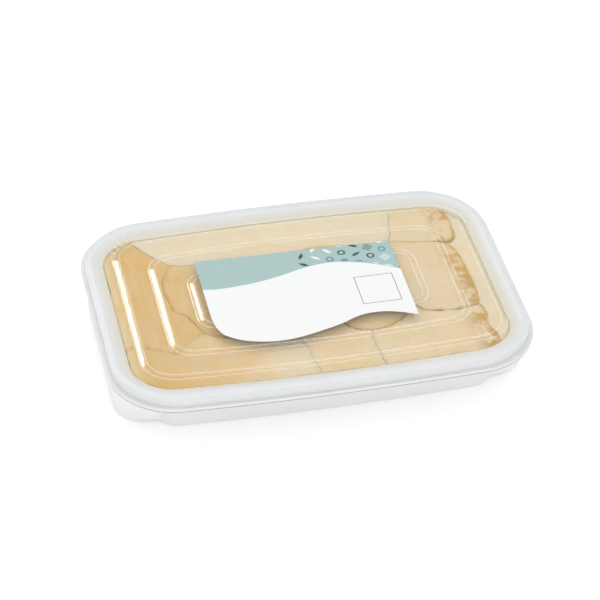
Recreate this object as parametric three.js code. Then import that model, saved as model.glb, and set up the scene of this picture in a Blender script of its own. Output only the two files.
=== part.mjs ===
// Marinated salt cod: a shut white tub with a clear stepped lid and a paper label,
// full of cod slices lying in oil. Millimetres, +Z up, the tub stands on z = 0.

import * as THREE from 'three';
import { mergeVertices } from 'three/addons/utils/BufferGeometryUtils.js';

// ---------------------------------------------------------------- driving sizes

// Outlines seen from above: half length along X, half width along Y, corner radius.
const FOOT = { halfLength: 127, halfWidth: 62.8, corner: 17 };          // the tub's corners and ends at the floor
const SHOULDER = { halfLength: 129.2, halfWidth: 87, corner: 34 };      // and just below its lip
const MOUTH = { halfLength: 117, halfWidth: 73.5, corner: 24.5 };       // the tub's inner edge
const GROOVE = { halfLength: 122.6, halfWidth: 79.2, corner: 31 };      // inner edge of the lid's ring
const RIM = { halfLength: 130, halfWidth: 88.3, corner: 40 };           // outer edge of the lid's ring
const TUB_LIP = { halfLength: 130.8, halfWidth: 89, corner: 38.5 };      // the tub's lip, under the lid's skirt
const STEPS = [                                                         // middle of each slope in the lid
  { halfLength: 111.2, halfWidth: 67.8, corner: 17.5 },
  { halfLength: 91.3, halfWidth: 49.1, corner: 11.5 },
  { halfLength: 70.1, halfWidth: 27.9, corner: 8.5 },
];
const BOW = 4.3;                  // how far the long sides bulge in the middle

const RIM_TOP = 37.9;             // top of the lid's ring
const PANEL_TOP = 37.1;           // the lid's panel, just inside the ring
const STEP_HEIGHT = 0.35;         // each of the lid's three steps rises this much
const STEP_RUN = 3.6;             // width of a step's slope
const STEP_SHIFT = 2.2;           // the steps sit a little right of the middle
const LID_WALL = 0.8;
const LID_LIP = 31.9;             // the lid's skirt ends here

const PANEL = { halfWidthFoot: 69.8, halfWidthTop: 75.5, start: 104, end: 94 };   // the middle of a long side
const TUB_FLOOR = 1.5;
const BASIN = { halfLength: 112, halfWidth: 61, corner: 20 };           // the inside at the tub's floor
const FLANGE_TOP = 36.8;          // the lid's ring lies just above this
const MOUTH_TOP = 33.4;           // lower edge of the sloped ledge round the mouth
const LIP_BOTTOM = 29.3;          // lower edge of the tub's lip

const LABEL = { left: -62, right: 62.5, topLeft: 37.3, topRight: 35.4, thickness: 0.35, gap: 0.35 };

const FISH_TOP = 33;              // level of the uppermost slices
const SLICE_THICKNESS = 5;
const SLICE_EDGE = 1.4;           // a slice thins to this at its edge
const SLICE_GAP = 1.35;           // oil between two slices that lie on each other
const SLICE_WAVE = 0.35;          // how uneven a slice's top is
const SLICE_DROOP = 0.3;          // how far its edge hangs
const SLICE_RISE = { from: 2.8, to: 12, slope: 0.9 };   // how a slice rises beside the one that covers it
const SLICE_WALL = { z: 26, clearance: 0.8 };           // the wall that stops the slices, and how far from it
const BED_TOP = 23;               // highest the lower layers reach

// ---------------------------------------------------------------- mesh resolution

const CORNER_SEGMENTS = 6;
const SHORT_SEGMENTS = 3;
const SLICE_DIRECTIONS = 180;
const SLICE_SEGMENTS = 32;
const BED_SEGMENTS = 40;
// Where the points of a long side lie between its two corners, as parts of its length.
const LID_STATIONS = [1, 2, 3, 4, 5].map((i) => i / 6);
const TUB_STATIONS = [0.03, 0.05, 0.075, 0.2, 0.35, 0.5, 0.65, 0.8, 0.925, 0.95, 0.97];

// ---------------------------------------------------------------- outlines

const lerp = THREE.MathUtils.lerp;
const smooth = THREE.MathUtils.smoothstep;

// A rounded rectangle with bulging long sides, anticlockwise from the right-hand side.
// `shift` moves the whole outline along X.
function outline({ halfLength, halfWidth, corner, z, shift = 0, stations = LID_STATIONS }) {
  const centres = [
    [halfLength - corner, halfWidth - corner],
    [corner - halfLength, halfWidth - corner],
    [corner - halfLength, corner - halfWidth],
    [halfLength - corner, corner - halfWidth],
  ];
  const onCorner = (quarter, part) => {
    const angle = (quarter + part) * Math.PI / 2;
    const [cx, cy] = centres[quarter];
    return [cx + corner * Math.cos(angle), cy + corner * Math.sin(angle)];
  };
  const shortStations = Array.from({ length: SHORT_SEGMENTS - 1 }, (_, i) => (i + 1) / SHORT_SEGMENTS);
  const points = [];
  for (let quarter = 0; quarter < 4; quarter++) {
    for (let i = 0; i <= CORNER_SEGMENTS; i++) points.push(onCorner(quarter, i / CORNER_SEGMENTS));
    const [ax, ay] = points.at(-1);
    const [bx, by] = onCorner((quarter + 1) % 4, 0);
    for (const t of quarter % 2 === 0 ? stations : shortStations) points.push([lerp(ax, bx, t), lerp(ay, by, t)]);
  }
  return points.map(([x, y]) => new THREE.Vector3(
    x + shift,
    y * (1 - (BOW / halfWidth) * (x / halfLength) ** 2),
    z,
  ));
}

// One of the outlines above, made larger by one distance all round, at a height.
function grow({ halfLength, halfWidth, corner }, by, z, extra = {}) {
  return outline({
    halfLength: halfLength + by, halfWidth: halfWidth + by, corner: corner + by, z, ...extra,
  });
}

// ---------------------------------------------------------------- solids from loops

// Skins a row of equal loops into one closed body, with a fan over each end.
// The loops run from the underside's middle outwards and back to the top's middle.
function shellFromLoops(loops) {
  const count = loops[0].length;
  const positions = [];
  const push = (...corners) => corners.forEach((v) => positions.push(v.x, v.y, v.z));
  for (let l = 0; l < loops.length - 1; l++) {
    for (let i = 0; i < count; i++) {
      const j = (i + 1) % count;
      const [a, b, c, d] = [loops[l][i], loops[l][j], loops[l + 1][j], loops[l + 1][i]];
      push(a, b, c);
      push(a, c, d);
    }
  }
  const fan = (loop, upwards) => {
    const centre = loop.reduce((sum, v) => sum.add(v), new THREE.Vector3()).divideScalar(count);
    for (let i = 0; i < count; i++) {
      const j = (i + 1) % count;
      if (upwards) push(centre, loop[i], loop[j]);
      else push(centre, loop[j], loop[i]);
    }
  };
  fan(loops[0], false);
  fan(loops.at(-1), true);
  return closedGeometry(positions);
}

function closedGeometry(positions) {
  const geometry = new THREE.BufferGeometry();
  geometry.setAttribute('position', new THREE.Float32BufferAttribute(positions, 3));
  const merged = mergeVertices(geometry, 1e-4);
  merged.computeVertexNormals();
  return merged;
}

// ---------------------------------------------------------------- tub

// An outline between two others, `t` of the way from the first to the second.
function between(low, high, t, by, z) {
  const size = (key) => lerp(low[key], high[key], t);
  const middle = { halfLength: size('halfLength'), halfWidth: size('halfWidth'), corner: size('corner') };
  return grow(middle, by, z, { stations: TUB_STATIONS });
}

// The tub's outside at a height: the corners lean inwards towards the floor, while the
// middle of each long side is a panel that stands almost upright.
function tubSide(z, by = 0) {
  const t = z / LIP_BOTTOM;
  const panelHalf = lerp(PANEL.halfWidthFoot, PANEL.halfWidthTop, t) + by;
  return between(FOOT, SHOULDER, t, by, z).map((point) => {
    const panelY = panelHalf - BOW * (point.x / FOOT.halfLength) ** 2;
    const share = smooth(PANEL.start - Math.abs(point.x), 0, PANEL.start - PANEL.end);
    point.y = Math.sign(point.y) * lerp(Math.abs(point.y), panelY, share);
    return point;
  });
}

// The tub's inside at a height.
function tubInside(z, by = 0) {
  return between(BASIN, MOUTH, (z - TUB_FLOOR) / (MOUTH_TOP - TUB_FLOOR), by, z);
}

function tubGeometry() {
  const tub = (spec, by, z) => grow(spec, by, z, { stations: TUB_STATIONS });
  return shellFromLoops([
    tubSide(0, -1.2),
    tubSide(0.4, -0.3),
    tubSide(1.4),
    tubSide(10),
    tubSide(20),
    tubSide(LIP_BOTTOM - 0.4),
    tub(TUB_LIP, -0.4, LIP_BOTTOM),
    tub(TUB_LIP, 0, LIP_BOTTOM + 0.3),
    tub(TUB_LIP, 0, LIP_BOTTOM + 1.2),
    tub(RIM, -1.6, LID_LIP - 0.8),
    tub(RIM, -1.9, FLANGE_TOP - 1),
    tub(RIM, -2.9, FLANGE_TOP),
    tub(GROOVE, 1.6, FLANGE_TOP),
    tub(MOUTH, 0, MOUTH_TOP),
    tubInside(TUB_FLOOR + 2.5),
    tubInside(TUB_FLOOR + 0.6, -0.8),
    tubInside(TUB_FLOOR, -2.6),
  ]);
}

// ---------------------------------------------------------------- lid

// The edges of the three steps, from the middle outwards, on one face of the lid.
function stepLoops(lowered) {
  const shifted = { shift: STEP_SHIFT };
  return STEPS.flatMap((middle, step) => {
    const foot = PANEL_TOP + STEP_HEIGHT * step - lowered;
    return [
      grow(middle, STEP_RUN / 2, foot, shifted),
      grow(middle, -STEP_RUN / 2, foot + STEP_HEIGHT, shifted),
    ];
  }).reverse();
}

function lidGeometry() {
  const face = [
    ...stepLoops(0),
    grow(GROOVE, -0.7, PANEL_TOP),
    grow(GROOVE, 0.9, RIM_TOP),
    grow(RIM, -1.3, RIM_TOP),
    grow(RIM, -0.3, RIM_TOP - 0.7),
    grow(RIM, 0, RIM_TOP - 1.8),
    grow(RIM, 0.4, LID_LIP, { corner: 38 }),
  ];
  const underside = [
    ...stepLoops(LID_WALL),
    grow(GROOVE, -0.6, PANEL_TOP - LID_WALL),
    grow(GROOVE, 1, RIM_TOP - LID_WALL),
    grow(RIM, -1.9, RIM_TOP - LID_WALL),
    grow(RIM, -1.1, RIM_TOP - 1.3),
    grow(RIM, -LID_WALL, RIM_TOP - 2.2),
    grow(RIM, 0.4 - LID_WALL, LID_LIP, { corner: 37.2 }),
  ];
  return shellFromLoops([...underside, ...face.reverse()]);
}

// ---------------------------------------------------------------- label

// The label's lower edge: one wave, and a large round at its left-hand end.
const labelFoot = new THREE.SplineCurve([
  [-62, -18], [-60.6, -27], [-56, -35.4], [-46.3, -41.2], [-34.8, -44.3], [-24.6, -45.2],
  [-13.3, -44.2], [-0.3, -41.2], [14, -36.9], [23.5, -32.8], [32, -30.5], [42.5, -30.6], [52, -33], [62.5, -37.2],
].map(([x, y]) => new THREE.Vector2(x, y)));

// Height of the label's underside: on the top step, then down onto the next one.
function labelHeight(y) {
  const top = PANEL_TOP + STEP_HEIGHT * STEPS.length + LABEL.gap;
  const fold = STEPS.at(-1).halfWidth;
  return top - STEP_HEIGHT * smooth(Math.abs(y), fold, fold + 9);
}

function labelGeometry() {
  const columns = 16;
  const rows = 8;
  const lower = labelFoot.getSpacedPoints(columns);
  const grid = (lift) => lower.map((foot, c) => {
    const headX = lerp(LABEL.left, LABEL.right, c / columns);
    const headY = lerp(LABEL.topLeft, LABEL.topRight, c / columns);
    return Array.from({ length: rows + 1 }, (_, r) => {
      const x = lerp(foot.x, headX, Math.min(1, (r / rows) * 1.6));
      const y = lerp(foot.y, headY, r / rows);
      return new THREE.Vector3(x, y, labelHeight(y) + lift);
    });
  });
  const underside = grid(0);
  const face = grid(LABEL.thickness);
  const positions = [];
  const quad = (a, b, c, d) => [a, b, c, a, c, d].forEach((v) => positions.push(v.x, v.y, v.z));
  for (let c = 0; c < columns; c++) {
    for (let r = 0; r < rows; r++) {
      quad(face[c][r], face[c + 1][r], face[c + 1][r + 1], face[c][r + 1]);
      quad(underside[c][r], underside[c][r + 1], underside[c + 1][r + 1], underside[c + 1][r]);
    }
    quad(underside[c][0], underside[c + 1][0], face[c + 1][0], face[c][0]);
    quad(underside[c + 1][rows], underside[c][rows], face[c][rows], face[c + 1][rows]);
  }
  for (let r = 0; r < rows; r++) {
    quad(underside[0][r + 1], underside[0][r], face[0][r], face[0][r + 1]);
    quad(underside[columns][r], underside[columns][r + 1], face[columns][r + 1], face[columns][r]);
  }
  return closedGeometry(positions);
}

// ---------------------------------------------------------------- cod slices

// Each slice's edge passes through these points, in order round it, and stops at the tub's wall.
// They are listed from the uppermost down, and each one dips under those before it.
const SLICES = [
  { name: 'right_middle', edge: [[60, -18], [68, -27], [76, -30], [86, -31.5], [95, -30.5], [104, -27], [106, -10], [105.5, 8], [104, 24], [98, 33], [80, 38], [60, 40], [48, 34], [46, 8], [50, -8]] },
  { name: 'middle', edge: [[17, -30], [22, -36], [30, -39.5], [38, -40], [48, -36.5], [57, -28], [60, 0], [56, 34], [36, 42], [10, 43], [-6, 34], [-9, 4], [0, -20]] },
  { name: 'back', edge: [[-99, 72], [-94, 65], [-87, 55], [-80, 47], [-72, 42], [-56, 41.5], [-10, 41], [30, 40], [62, 41], [68, 56], [66, 78], [0, 80], [-80, 79]] },
  { name: 'left_middle', edge: [[-82, -2], [-77, -4], [-72.5, -12], [-67, -24], [-54, -30], [-30, -31], [-4, -30], [8, -14], [8, 24], [-8, 44], [-44, 47], [-72, 45], [-84, 26]] },
  { name: 'back_right', edge: [[62, 37], [78, 35], [94, 36], [102, 34], [107, 39], [108, 48], [107, 61], [100, 78], [80, 80], [64, 78], [60, 58]] },
  { name: 'front_left', edge: [[-122, -30], [-108, -30], [-98, -36], [-88, -40], [-76, -30], [-60, -24], [-30, -26], [-14, -34], [-8, -60], [-12, -78], [-60, -79], [-110, -77], [-124, -56]] },
  { name: 'front_right', edge: [[46, -24], [74, -22], [98, -24], [106, -34], [104, -48], [107, -58], [102, -78], [60, -79], [38, -79], [32, -60], [34, -36]] },
  { name: 'front_middle', edge: [[-24, -30], [-4, -22], [24, -24], [40, -32], [44, -58], [40, -79], [0, -80], [-19, -79], [-22, -56]] },
  { name: 'left_end', edge: [[-124, -35], [-102, -37], [-84, -34], [-66, -31], [-63, -12], [-70, 28], [-80, 52], [-92, 70], [-100, 78], [-122, 66], [-126, 0]] },
  { name: 'right_end', edge: [[102, -56], [99, 0], [99, 24], [103, 42], [106, 58], [112, 66], [124, 40], [126, 0], [124, -40], [112, -66]], sunk: 1.5 },
].map(makeSlice);

// How far a ray from a middle runs before it leaves a closed outline for good.
function rayLength(centre, angle, points) {
  const [dx, dy] = [Math.cos(angle), Math.sin(angle)];
  let longest = 0;
  points.forEach((from, i) => {
    const to = points[(i + 1) % points.length];
    const [ex, ey] = [to.x - from.x, to.y - from.y];
    const [ax, ay] = [from.x - centre.x, from.y - centre.y];
    const det = dx * ey - dy * ex;
    const along = (ax * dy - ay * dx) / det;
    if (along >= 0 && along <= 1) longest = Math.max(longest, (ax * ey - ay * ex) / det);
  });
  return longest;
}

// Distance from a slice's middle to its edge in one direction.
function radiusAt(polar, angle) {
  const turn = 2 * Math.PI;
  const next = Math.max(0, polar.findIndex(([a]) => a >= angle));
  const [a1, r1] = polar[next];
  const [a0, r0] = polar[(next + polar.length - 1) % polar.length];
  const span = (a1 - a0 + turn) % turn;
  const part = (angle - a0 + turn) % turn;
  return lerp(r0, r1, span > 0 ? part / span : 0);
}

function makeSlice({ name, edge, sunk = 0 }, index) {
  const curve = new THREE.CatmullRomCurve3(edge.map(([x, y]) => new THREE.Vector3(x, y, 0)), true);
  const drawn = curve.getSpacedPoints(96).slice(0, 96);
  const centre = drawn.reduce((sum, v) => sum.add(v), new THREE.Vector3()).divideScalar(drawn.length);
  const wall = tubInside(SLICE_WALL.z, -SLICE_WALL.clearance);
  const polar = Array.from({ length: SLICE_DIRECTIONS }, (_, i) => {
    const angle = (i / SLICE_DIRECTIONS) * 2 * Math.PI - Math.PI;
    return [angle, Math.min(rayLength(centre, angle, drawn), rayLength(centre, angle, wall))];
  });
  const rim = polar.map(([angle, r]) => new THREE.Vector3(centre.x + r * Math.cos(angle), centre.y + r * Math.sin(angle), 0));
  return { name, index, sunk, centre, polar, rim };
}

// 0 at a slice's middle, 1 at its edge, more beyond it.
function reach(slice, x, y) {
  const dx = x - slice.centre.x;
  const dy = y - slice.centre.y;
  return Math.hypot(dx, dy) / radiusAt(slice.polar, Math.atan2(dy, dx));
}

// How far a point outside a slice lies from its edge; 0 for a point inside it.
function beyondEdge(slice, x, y) {
  if (reach(slice, x, y) <= 1) return 0;
  const point = new THREE.Vector3(x, y, 0);
  const near = new THREE.Vector3();
  const side = new THREE.Line3();
  return Math.min(...slice.rim.map((from, i) => {
    side.set(from, slice.rim[(i + 1) % slice.rim.length]);
    return side.closestPointToPoint(point, true, near).distanceTo(point);
  }));
}

function thicknessAt(t) {
  return lerp(SLICE_EDGE, SLICE_THICKNESS, Math.sqrt(Math.max(0, 1 - t ** 3)));
}

// The last of the first `count` slices at a point: its upper face is gently wavy, and pressed
// down where another slice covers it. `cover` is what covers the next slice: the lowest
// underside so far, rising again outside the slices' edges.
function stackAt(count, x, y) {
  let cover = Infinity;
  let top = Infinity;
  for (const slice of SLICES.slice(0, count)) {
    const t = reach(slice, x, y);
    const wave = SLICE_WAVE * Math.sin(x / 17 + slice.index) * Math.cos(y / 13 - 2 * slice.index);
    top = Math.min(FISH_TOP - slice.sunk + wave - SLICE_DROOP * t ** 4, cover - SLICE_GAP);
    const outside = beyondEdge(slice, x, y);
    if (outside > SLICE_RISE.to) continue;
    const rise = Math.max(0, outside - SLICE_RISE.from) * SLICE_RISE.slope;
    cover = Math.min(cover, top - thicknessAt(Math.min(t, 1)) + rise);
  }
  return { top, cover };
}

// A slab inside a closed edge: rings of points from its middle outwards, on both faces.
function slabGeometry(centre, edge, fractions, topAt, bottomAt) {
  const ring = (fraction, height) => edge.map((point) => {
    const x = lerp(centre.x, point.x, fraction);
    const y = lerp(centre.y, point.y, fraction);
    return new THREE.Vector3(x, y, height(x, y, fraction));
  });
  const bottom = fractions.map((fraction) => ring(fraction, bottomAt));
  const top = fractions.map((fraction) => ring(fraction, topAt)).reverse();
  return shellFromLoops([...bottom, ...top]);
}

function sliceGeometry(slice) {
  const edge = new THREE.CatmullRomCurve3(slice.rim, true).getSpacedPoints(SLICE_SEGMENTS).slice(0, SLICE_SEGMENTS);
  const topAt = (x, y) => stackAt(slice.index + 1, x, y).top;
  const bottomAt = (x, y, fraction) => topAt(x, y) - thicknessAt(fraction);
  return slabGeometry(slice.centre, edge, [0.3, 0.6, 0.8, 0.93, 1], topAt, bottomAt);
}

// The slices underneath, seen only in the gaps: one uneven heap inside the tub's walls.
function bedGeometry() {
  const half = { x: BASIN.halfLength - 3.5, y: BASIN.halfWidth - BOW };
  const roundness = 7;
  const edge = Array.from({ length: BED_SEGMENTS }, (_, i) => {
    const angle = (i / BED_SEGMENTS) * 2 * Math.PI;
    const c = Math.abs(Math.cos(angle)) / half.x;
    const s = Math.abs(Math.sin(angle)) / half.y;
    const r = (c ** roundness + s ** roundness) ** (-1 / roundness);
    return { x: r * Math.cos(angle), y: r * Math.sin(angle) };
  });
  const bottom = TUB_FLOOR + 0.6;
  const topAt = (x, y, fraction) => {
    const free = BED_TOP - 0.5 + 0.5 * Math.sin(x / 11) * Math.cos(y / 9) - 5 * fraction ** 8;
    return Math.min(free, stackAt(SLICES.length, x, y).cover - 1.6 * SLICE_GAP);
  };
  const bottomAt = (x, y, fraction) => (fraction > 0.985 ? bottom + 2 : bottom);
  return slabGeometry(new THREE.Vector3(), edge, [0.2, 0.4, 0.6, 0.8, 0.97, 1], topAt, bottomAt);
}

// ---------------------------------------------------------------- materials and scene

const finish = (color, roughness, extra = {}) => new THREE.MeshStandardMaterial({
  color, roughness, metalness: 0, ...extra,
});

const pack = new THREE.Group();

function addPiece(name, geometry, material) {
  const mesh = new THREE.Mesh(geometry, material);
  mesh.name = name;
  pack.add(mesh);
}

addPiece('tub', tubGeometry(), finish('#f1f1f0', 0.35));
addPiece('lid', lidGeometry(), finish('#eef2f2', 0.08, { transparent: true, opacity: 0.25 }));
addPiece('label', labelGeometry(), finish('#f7f8f8', 0.5));
addPiece('cod_bed', bedGeometry(), finish('#c79b55', 0.4));
for (const slice of SLICES) {
  const tone = slice.index % 2 ? '#d8ae6b' : '#dfba7c';
  addPiece(`cod_slice_${slice.name}`, sliceGeometry(slice), finish(tone, 0.35));
}

export default pack;
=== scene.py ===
"""Marinated salt cod in a shut tub: a white tub, a clear stepped lid, a paper label and slices in oil."""

import math

import bpy
import numpy as np
from mathutils import Matrix, Vector, noise


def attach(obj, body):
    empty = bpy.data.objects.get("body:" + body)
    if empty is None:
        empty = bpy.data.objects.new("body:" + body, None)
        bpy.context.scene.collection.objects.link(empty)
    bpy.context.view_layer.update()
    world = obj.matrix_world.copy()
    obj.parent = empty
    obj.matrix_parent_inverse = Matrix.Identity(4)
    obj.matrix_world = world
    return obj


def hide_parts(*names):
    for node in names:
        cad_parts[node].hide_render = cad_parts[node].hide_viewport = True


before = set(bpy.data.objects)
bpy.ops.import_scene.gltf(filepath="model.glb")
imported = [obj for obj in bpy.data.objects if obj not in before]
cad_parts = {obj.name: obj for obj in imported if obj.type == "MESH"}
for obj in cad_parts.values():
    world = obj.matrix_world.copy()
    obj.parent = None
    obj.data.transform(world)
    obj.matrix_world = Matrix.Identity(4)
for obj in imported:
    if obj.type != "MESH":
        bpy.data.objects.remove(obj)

bl_info = {
    "name": "Marinated salt cod tub",
    "version": (1, 0, 0),
    "blender": (4, 5, 0),
    "location": "3D View > Sidebar > Cod tub",
    "description": "Builds a shut tub of salt cod slices in oil round its packed frame",
    "category": "Add Mesh",
}

MM = 0.001
BODY = "root"

# ---------- sizes, in millimetres

# Outlines seen from above: half length along X, half width along Y, corner radius.
FOOT = (127.0, 62.8, 17.0)
SHOULDER = (129.2, 87.0, 34.0)
MOUTH = (117.0, 73.5, 24.5)
GROOVE = (122.6, 79.2, 31.0)
RIM = (130.0, 88.3, 40.0)
TUB_LIP = (130.8, 89.0, 38.5)
BASIN = (112.0, 61.0, 20.0)
STEPS = ((111.2, 67.8, 17.5), (91.3, 49.1, 11.5), (70.1, 27.9, 8.5))    # the lid's, outermost first
STEP_SHIFT = 2.2                 # how far the steps' middle lies to the right of the tub's
BOW = 4.3                        # how far the long sides bulge

RIM_TOP = 37.9                   # heights over the surface that the tub stands on
PANEL_TOP = 37.1
FLANGE_TOP = 36.8
MOUTH_TOP = 33.4
LID_LIP = 31.9
LIP_BOTTOM = 29.3
BED_TOP = 23.0
TUB_FLOOR = 1.5

LID_WALL = 0.8
STEP_RUN = 3.6                   # how wide a step's slope is, seen from above
STEP_ROUND = 0.5                 # how far that slope is eased, from 0 to 1
BEAD_WIDTH, BEAD_HEIGHT = 1.0, 0.05      # fine bead along both edges of a step

PANEL_FOOT, PANEL_HEAD = 69.8, 75.5      # half width of the long sides' middle panel
PANEL_START, PANEL_END = 104.0, 94.0     # and where along X it turns into the corners

SLICE_EDGE = 0.22                # thickness at a slice's edge
SLICE_GAP = -0.05                # negative: a slice's edge presses a little into the one below
SLICE_WAVE = 0.25                # how high the long waves of a slice's top are
SLICE_DROOP = 0.15               # how far its edge hangs
SEAM_SLOPE = (1.5, 6.0)          # how steeply a slice rises again beside the one above it
SEAM_REACH = 12.0                # how far beyond a slice's edge it can hold the next one down
OIL_INTO_WALL = 0.3              # how far the oil reaches into the tub's wall


def size(name):
    """A size from the settings, in millimetres."""
    return round(getattr(bpy.context.scene.cod_tub_sizes, name) / MM, 5)


# ---------- outlines


def outline(spec, z, by=0.0, shift=0.0, corner=None, long=60, short=18, round_=16):
    """A rounded rectangle with bulging long sides, anticlockwise, as rows of x, y, z."""
    half_length, half_width, radius = spec[0] + by, spec[1] + by, spec[2] + by
    if corner is not None:
        radius = corner
    middles = ((1, 1), (-1, 1), (-1, -1), (1, -1))
    rows = []
    for quarter, (sx, sy) in enumerate(middles):
        cx, cy = sx * (half_length - radius), sy * (half_width - radius)
        angles = (quarter + np.linspace(0, 1, round_ + 1)) * math.pi / 2
        arc = np.stack([cx + radius * np.cos(angles), cy + radius * np.sin(angles)], 1)
        nx, ny = middles[(quarter + 1) % 4]
        turn = (quarter + 1) * math.pi / 2
        end = np.array([nx * (half_length - radius) + radius * math.cos(turn),
                        ny * (half_width - radius) + radius * math.sin(turn)])
        count = long if quarter % 2 == 0 else short
        along = np.linspace(0, 1, count + 1)[1:-1, None]
        rows += [arc, arc[-1] * (1 - along) + end * along]
    flat = np.concatenate(rows)
    x, y = flat[:, 0], flat[:, 1]
    bowed = y * (1 - (BOW / half_width) * (x / half_length) ** 2)
    return np.stack([x + shift, bowed, np.full(len(x), z)], 1)


def smooth(value, low, high):
    """0 below low, 1 above high, and an eased rise between."""
    t = np.clip((value - low) / (high - low), 0, 1)
    return t * t * (3 - 2 * t)


# ---------- meshes


def finish_piece(mesh, name, replaced=(), sharp=None):
    """Makes the object, shades it smooth and ties it to the tub's body."""
    mesh.validate()
    mesh.polygons.foreach_set("use_smooth", [True] * len(mesh.polygons))
    if sharp is not None:
        mesh.set_sharp_from_angle(angle=math.radians(sharp))
    piece = bpy.data.objects.new(name, mesh)
    bpy.context.scene.collection.objects.link(piece)
    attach(piece, BODY)
    if replaced:
        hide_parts(*replaced)
    return piece


def skin(name, loops):
    """A mesh over a row of equal loops in millimetres, with a fan over each end."""
    count = len(loops[0])
    points = np.concatenate(loops)
    faces = []
    for row in range(len(loops) - 1):
        a, b = row * count, (row + 1) * count
        faces += [(a + i, a + (i + 1) % count, b + (i + 1) % count, b + i) for i in range(count)]
    first, last = len(points), len(points) + 1
    points = np.concatenate([points, loops[0].mean(0)[None], loops[-1].mean(0)[None]])
    top = (len(loops) - 1) * count
    faces += [(first, (i + 1) % count, i) for i in range(count)]
    faces += [(last, top + i, top + (i + 1) % count) for i in range(count)]
    return new_mesh(name, points, faces)


def new_mesh(name, points, faces):
    """A mesh from points in millimetres."""
    mesh = bpy.data.meshes.new(name)
    mesh.from_pydata((points * MM).tolist(), [], faces)
    return mesh


def mark(mesh, name, values):
    """Writes one value for each loop of a skin on all its points, for the material, and 0 on its fans."""
    count = (len(mesh.vertices) - 2) // len(values)
    spread = [v for v in values for _ in range(count)] + [0.0, 0.0]
    mesh.attributes.new(name, "FLOAT", "POINT").data.foreach_set("value", spread)


# ---------- node helpers


WHITE = (1, 1, 1, 1)
VEIL = (0.92, 0.94, 0.95, 1)     # colour of milky plastic


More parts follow.
